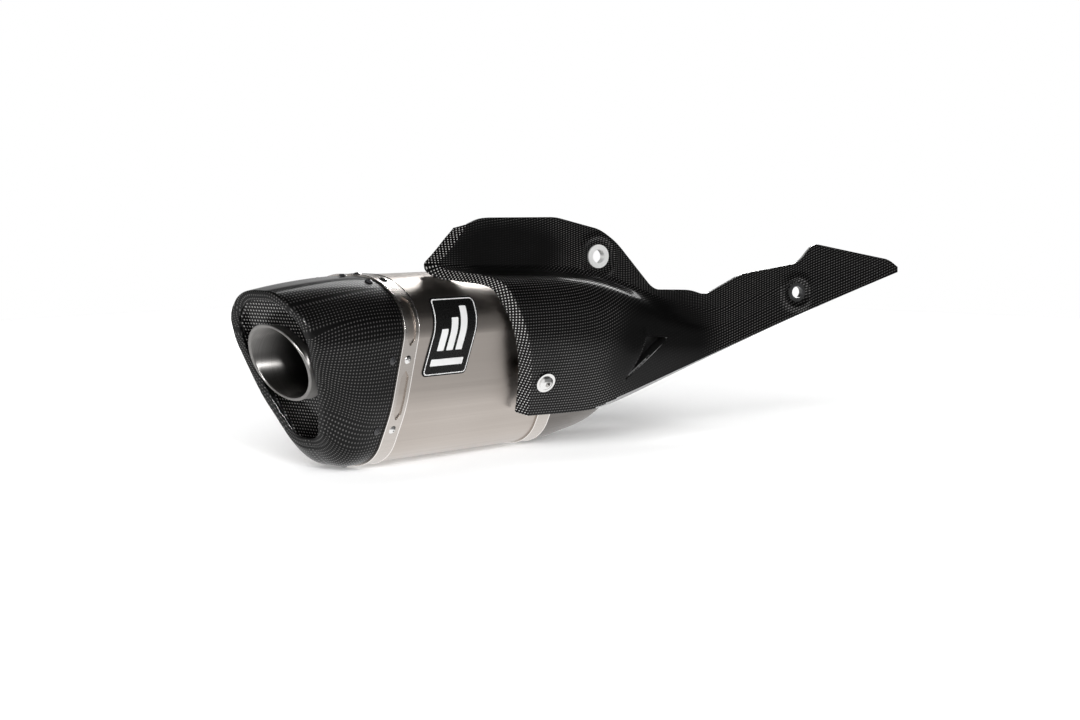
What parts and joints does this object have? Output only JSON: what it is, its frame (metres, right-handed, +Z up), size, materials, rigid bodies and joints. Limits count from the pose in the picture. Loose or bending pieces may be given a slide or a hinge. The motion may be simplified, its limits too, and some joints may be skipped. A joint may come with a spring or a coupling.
{
  "type": "exhaust silencer",
  "caption": "Slip-on racing silencer: satin titanium sleeve, slanted carbon end cap with round outlet, riveted bands, and a carbon heat shield with two mounting eyes.",
  "frame": {"origin": "centre of the inlet socket's mouth, where the link pipe enters", "axes": "+X forward along the silencer's axis, out of the inlet socket; +Y to the motorcycle's centre line (the outer, shielded side is -Y); +Z up"},
  "size_m": [0.5501, 0.2469, 0.1806],
  "materials": {
    "carbon": "plain-weave carbon fibre under clear gloss lacquer",
    "titanium": "satin titanium sheet, warm grey",
    "titanium_band": "satin titanium strip, lighter than the sleeve",
    "polished_steel": "finely brushed stainless steel",
    "rivet_steel": "bright steel blind rivets",
    "black_rivet": "black blind rivets",
    "inner_steel": "stainless steel, plain",
    "glass_wool": "fibre packing",
    "welded_titanium": "titanium, as welded, satin",
    "clamp_steel": "stainless steel strap",
    "zinc_steel": "zinc-plated steel",
    "polished_fastener": "bright stainless steel",
    "dark_fastener": "black anodised",
    "rubber": "matt black rubber",
    "badge_black": "gloss black enamel on thin aluminium",
    "badge_silver": "satin white enamel"
  },
  "bodies": {
    "silencer": {"end_cap_shell": "carbon", "end_cap_insert": "carbon", "outlet_tube": "polished_steel", "sleeve": "titanium", "rear_band": "titanium_band", "front_band": "titanium_band", "rear_band_rivets": "rivet_steel", "front_band_rivets": "rivet_steel", "end_cap_rivets": "black_rivet", "rear_bulkhead": "inner_steel", "perforated_core": "inner_steel", "glass_wool_packing": "glass_wool", "front_cone": "welded_titanium", "inlet_socket": "inner_steel", "heat_shield": "carbon", "shield_screw": "polished_fastener", "shield_grommet": "rubber", "shield_post": "welded_titanium", "hanger_bracket": "welded_titanium", "upper_bush": "polished_fastener", "upper_grommet": "rubber", "lower_bush": "dark_fastener", "lower_grommet": "rubber", "badge": "badge_black", "badge_inlay": "badge_silver"},
    "clamp": {"clamp_band": "clamp_steel", "clamp_nut": "zinc_steel"},
    "clamp_bolt": {"clamp_bolt": "zinc_steel"}
  },
  "joints": [
    {"name": "clamp_turn", "type": "hinge", "parent": "silencer", "child": "clamp", "pos_m": [-0.012, 0, 0], "axis": [1, 0, 0], "continuous": true},
    {"name": "clamp_bolt_turn", "type": "hinge", "parent": "clamp", "child": "clamp_bolt", "pos_m": [-0.012, 0.0394, 0], "axis": [0, 0, 1], "continuous": true}
  ]
}
